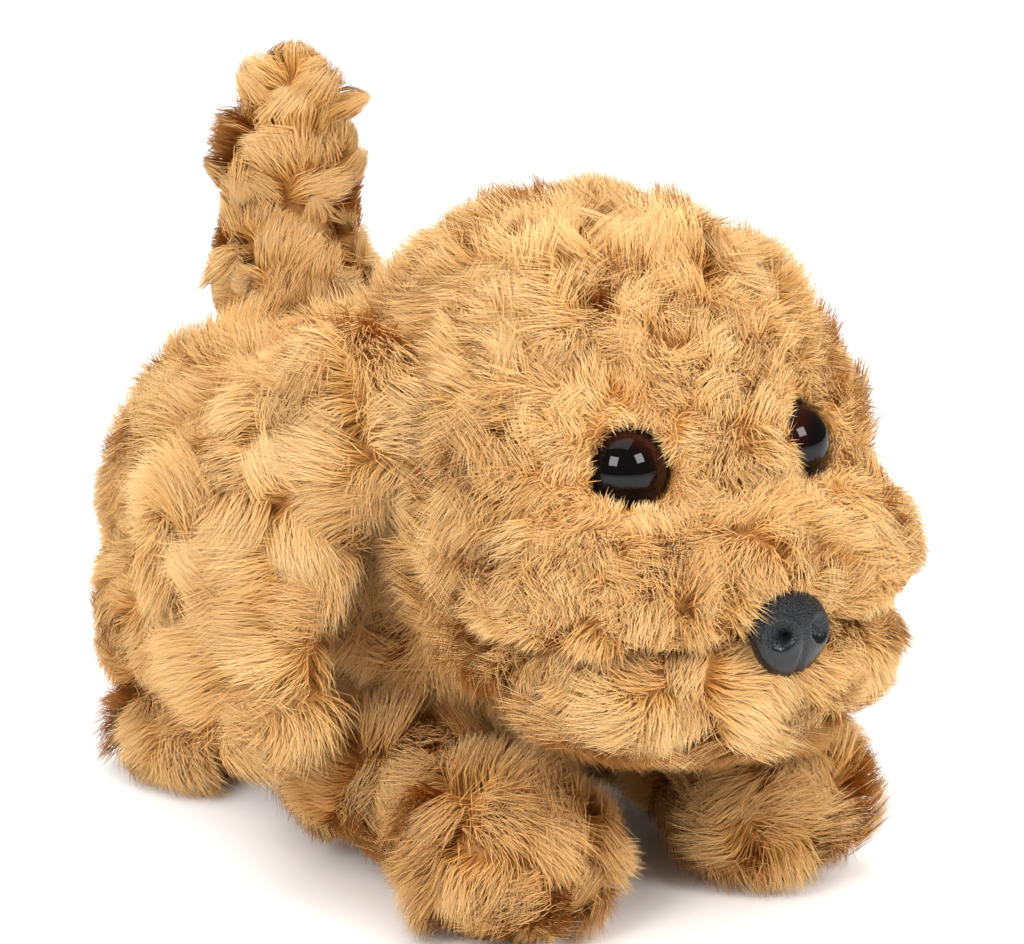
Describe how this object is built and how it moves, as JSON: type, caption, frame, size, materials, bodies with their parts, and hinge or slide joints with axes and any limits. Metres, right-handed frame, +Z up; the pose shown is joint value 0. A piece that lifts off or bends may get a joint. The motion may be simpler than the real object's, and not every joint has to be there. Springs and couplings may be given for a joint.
{
  "type": "interactive plush pet",
  "caption": "Furry toy puppy with a turning and nodding head, opening mouth, hanging ears, wagging tail, swinging legs and a geared drive inside",
  "frame": {"origin": "on the ground plane, under the middle of the puppy's bounding box", "axes": "+Z up, -Y the way the puppy faces, +X its left side"},
  "size_m": [0.138, 0.191, 0.1375],
  "materials": {
    "golden_plush": "long-pile curly plush, golden tan",
    "belly_fabric": "short-pile knit fabric",
    "eye_plastic": "polished dark brown",
    "nose_plastic": "fine grained black",
    "shell_plastic": "natural white moulded",
    "frame_plastic": "grey moulded",
    "gear_plastic": "natural acetal",
    "steel": "bright drawn steel",
    "brass_part": "turned brass",
    "battery_wrap": "plain printed sleeve",
    "board_green": "solder mask",
    "chip_black": "moulded epoxy",
    "button_plastic": "satin"
  },
  "bodies": {
    "chassis": {"torso_plush": "golden_plush", "chassis_lower": "shell_plastic", "chassis_upper": "shell_plastic", "chassis_screws": "steel", "batteries": "battery_wrap", "battery_contacts": "steel", "circuit_board": "board_green", "circuit_chips": "chip_black", "speaker": "chip_black", "motor": "steel", "motor_cradle": "frame_plastic", "gearbox_plate_left": "frame_plastic", "gearbox_plate_right": "frame_plastic", "gear_pins": "steel", "front_leg_pins": "steel", "rear_leg_pins": "steel", "tail_bracket": "frame_plastic", "tail_pin": "steel", "neck_post": "frame_plastic", "neck_clip": "steel"},
    "neck": {"neck_yoke": "frame_plastic"},
    "head": {"head_plush": "golden_plush", "skull_front": "shell_plastic", "skull_back": "shell_plastic", "skull_screws": "steel", "eye_left": "eye_plastic", "eye_right": "eye_plastic", "eye_washers": "frame_plastic", "nose": "nose_plastic", "nose_washer": "frame_plastic", "jaw_pins": "steel"},
    "jaw": {"jaw_frame": "frame_plastic", "chin_plush": "golden_plush"},
    "ear_left_flap": {"ear_left": "golden_plush"},
    "ear_right_flap": {"ear_right": "golden_plush"},
    "tail": {"tail_frame": "frame_plastic", "tail_plush": "golden_plush"},
    "motor_rotor": {"motor_shaft": "steel", "motor_pinion": "brass_part"},
    "gear_1": {"compound_gear_1": "gear_plastic"},
    "gear_2": {"compound_gear_2": "gear_plastic"},
    "crank": {"crank_gear": "gear_plastic", "crank_axle": "steel", "crank_discs": "frame_plastic"},
    "head_key": {"head_button": "button_plastic"},
    "back_key": {"back_button": "button_plastic"},
    "switch": {"power_switch": "button_plastic"},
    "door": {"battery_door": "shell_plastic"},
    "flap": {"belly_flap": "belly_fabric", "belly_flap_tape": "belly_fabric"},
    "front_leg_left": {"front_leg_frame_left": "frame_plastic", "front_leg_plush_left": "golden_plush"},
    "front_leg_right": {"front_leg_frame_right": "frame_plastic", "front_leg_plush_right": "golden_plush"},
    "rear_leg_left": {"rear_leg_frame_left": "frame_plastic", "rear_leg_plush_left": "golden_plush"},
    "rear_leg_right": {"rear_leg_frame_right": "frame_plastic", "rear_leg_plush_right": "golden_plush"}
  },
  "joints": [
    {"name": "head_turn", "type": "hinge", "parent": "chassis", "child": "neck", "pos_m": [0, -0.04, 0.0815], "axis": [0, 0, 1], "range_deg": [-15, 15]},
    {"name": "head_nod", "type": "hinge", "parent": "neck", "child": "head", "pos_m": [0, -0.04, 0.0815], "axis": [-1, 0, 0], "range_deg": [0, 14]},
    {"name": "jaw_open", "type": "hinge", "parent": "head", "child": "jaw", "pos_m": [0, -0.06, 0.0545], "axis": [1, 0, 0], "range_deg": [0, 8]},
    {"name": "ear_left_lift", "type": "hinge", "parent": "head", "child": "ear_left_flap", "pos_m": [0.038, -0.03, 0.104], "axis": [0, -1, 0], "range_deg": [0, 45]},
    {"name": "ear_right_lift", "type": "hinge", "parent": "head", "child": "ear_right_flap", "pos_m": [-0.038, -0.03, 0.104], "axis": [0, 1, 0], "range_deg": [0, 45]},
    {"name": "tail_wag", "type": "hinge", "parent": "chassis", "child": "tail", "pos_m": [0, 0.067, 0.084], "axis": [0, 1, 0], "range_deg": [-20, 20]},
    {"name": "front_leg_left_swing", "type": "hinge", "parent": "chassis", "child": "front_leg_left", "pos_m": [0, 0.01, 0.0225], "axis": [1, 0, 0], "range_deg": [-4, 4]},
    {"name": "front_leg_right_swing", "type": "hinge", "parent": "chassis", "child": "front_leg_right", "pos_m": [0, 0.01, 0.0225], "axis": [1, 0, 0], "range_deg": [-4, 4]},
    {"name": "rear_leg_left_swing", "type": "hinge", "parent": "chassis", "child": "rear_leg_left", "pos_m": [0, 0.061, 0.0285], "axis": [1, 0, 0], "range_deg": [-5, 5]},
    {"name": "rear_leg_right_swing", "type": "hinge", "parent": "chassis", "child": "rear_leg_right", "pos_m": [0, 0.061, 0.0285], "axis": [1, 0, 0], "range_deg": [-5, 5]},
    {"name": "motor_spin", "type": "hinge", "parent": "chassis", "child": "motor_rotor", "pos_m": [0, 0.014, 0.0482], "axis": [1, 0, 0], "continuous": true},
    {"name": "gear_1_spin", "type": "hinge", "parent": "chassis", "child": "gear_1", "pos_m": [0, 0.0255, 0.0482], "axis": [1, 0, 0], "continuous": true},
    {"name": "gear_2_spin", "type": "hinge", "parent": "chassis", "child": "gear_2", "pos_m": [0, 0.037, 0.0482], "axis": [1, 0, 0], "continuous": true},
    {"name": "crank_spin", "type": "hinge", "parent": "chassis", "child": "crank", "pos_m": [0, 0.0485, 0.0482], "axis": [1, 0, 0], "continuous": true},
    {"name": "head_button_press", "type": "slide", "parent": "head", "child": "head_key", "axis": [0, 0, -1], "range_m": [0, 0.0015], "stiffness_N_per_m": 400, "springref_m": -0.0004},
    {"name": "back_button_press", "type": "slide", "parent": "chassis", "child": "back_key", "axis": [0, 0, -1], "range_m": [0, 0.0012], "stiffness_N_per_m": 400, "springref_m": -0.0004},
    {"name": "power_switch_slide", "type": "slide", "parent": "chassis", "child": "switch", "axis": [1, 0, 0], "range_m": [-0.002, 0.002]},
    {"name": "battery_door_pull", "type": "slide", "parent": "chassis", "child": "door", "axis": [0, 0, -1], "range_m": [0, 0.003]},
    {"name": "belly_flap_open", "type": "hinge", "parent": "chassis", "child": "flap", "pos_m": [0, 0.0612, 0.0121], "axis": [1, 0, 0], "range_deg": [0, 50]}
  ],
  "couplings": [
    {"joint": "gear_1_spin", "follows": "motor_spin", "ratio": -0.27778},
    {"joint": "gear_2_spin", "follows": "motor_spin", "ratio": 0.07716},
    {"joint": "crank_spin", "follows": "motor_spin", "ratio": -0.021433},
    {"joint": "front_leg_right_swing", "follows": "front_leg_left_swing", "ratio": -1},
    {"joint": "rear_leg_right_swing", "follows": "rear_leg_left_swing", "ratio": -1}
  ]
}
